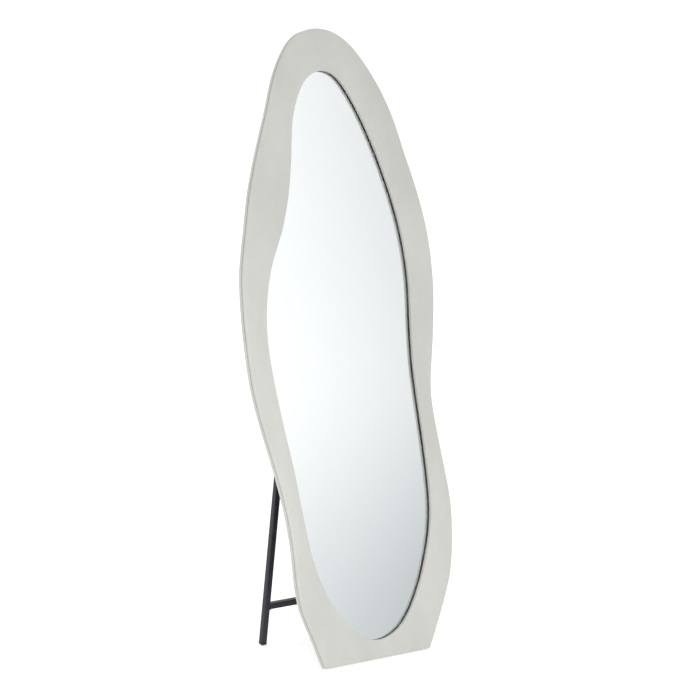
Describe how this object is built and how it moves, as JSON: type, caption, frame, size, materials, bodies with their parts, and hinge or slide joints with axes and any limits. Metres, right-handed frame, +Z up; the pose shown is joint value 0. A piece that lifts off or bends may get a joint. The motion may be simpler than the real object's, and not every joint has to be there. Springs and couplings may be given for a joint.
{
  "type": "floor mirror",
  "caption": "Tall wavy-edged floor mirror in a padded fabric frame, leaning back on a fold-out metal easel stand hinged behind it.",
  "frame": {"origin": "middle of the footprint box, on the floor", "axes": "+Z up; the mirror faces -Y and the stand opens towards +Y; +X to the right seen from the front"},
  "size_m": [0.6044, 0.3044, 1.5794],
  "materials": {
    "flannel": "matt short-pile flannel, warm pale grey",
    "foam": "soft open-cell foam",
    "board": "raw fibreboard",
    "backing": "dark painted hardboard, matt",
    "glass": "clear polished float glass",
    "silver": "silvered, mirror-bright",
    "steel": "charcoal powder coat, satin",
    "zinc": "bright zinc plate",
    "plastic": "black moulded plastic, matt"
  },
  "bodies": {
    "panel": {"front_cover": "flannel", "front_padding": "foam", "front_board": "board", "rear_cover": "flannel", "rear_board": "board", "mirror_glass": "glass", "mirror_silvering": "silver", "glass_spacer_1": "foam", "glass_spacer_2": "foam", "glass_spacer_3": "foam", "glass_spacer_4": "foam", "back_panel": "backing", "frame_screw_1": "zinc", "frame_screw_2": "zinc", "frame_screw_3": "zinc", "frame_screw_4": "zinc", "frame_screw_5": "zinc", "frame_screw_6": "zinc", "frame_screw_7": "zinc", "frame_screw_8": "zinc", "frame_screw_9": "zinc", "frame_screw_10": "zinc", "frame_screw_11": "zinc", "frame_screw_12": "zinc", "bracket_bolt_left_upper": "zinc", "bracket_bolt_left_lower": "zinc", "bracket_bolt_right_upper": "zinc", "bracket_bolt_right_lower": "zinc", "bracket_nut_left_upper": "zinc", "bracket_nut_left_lower": "zinc", "bracket_nut_right_upper": "zinc", "bracket_nut_right_lower": "zinc", "hinge_bracket_left": "steel", "hinge_bracket_right": "steel", "hinge_pin_left": "zinc", "hinge_pin_right": "zinc"},
    "stand": {"leg_left": "steel", "leg_right": "steel", "foot_cap_left": "plastic", "foot_cap_right": "plastic", "top_plug_left": "plastic", "top_plug_right": "plastic", "crossbar": "steel"}
  },
  "joints": [
    {"name": "stand_fold", "type": "hinge", "parent": "panel", "child": "stand", "pos_m": [-0.0068, 0.02302, 0.76941], "axis": [-1, 0, 0], "range_deg": [0, 19]}
  ]
}
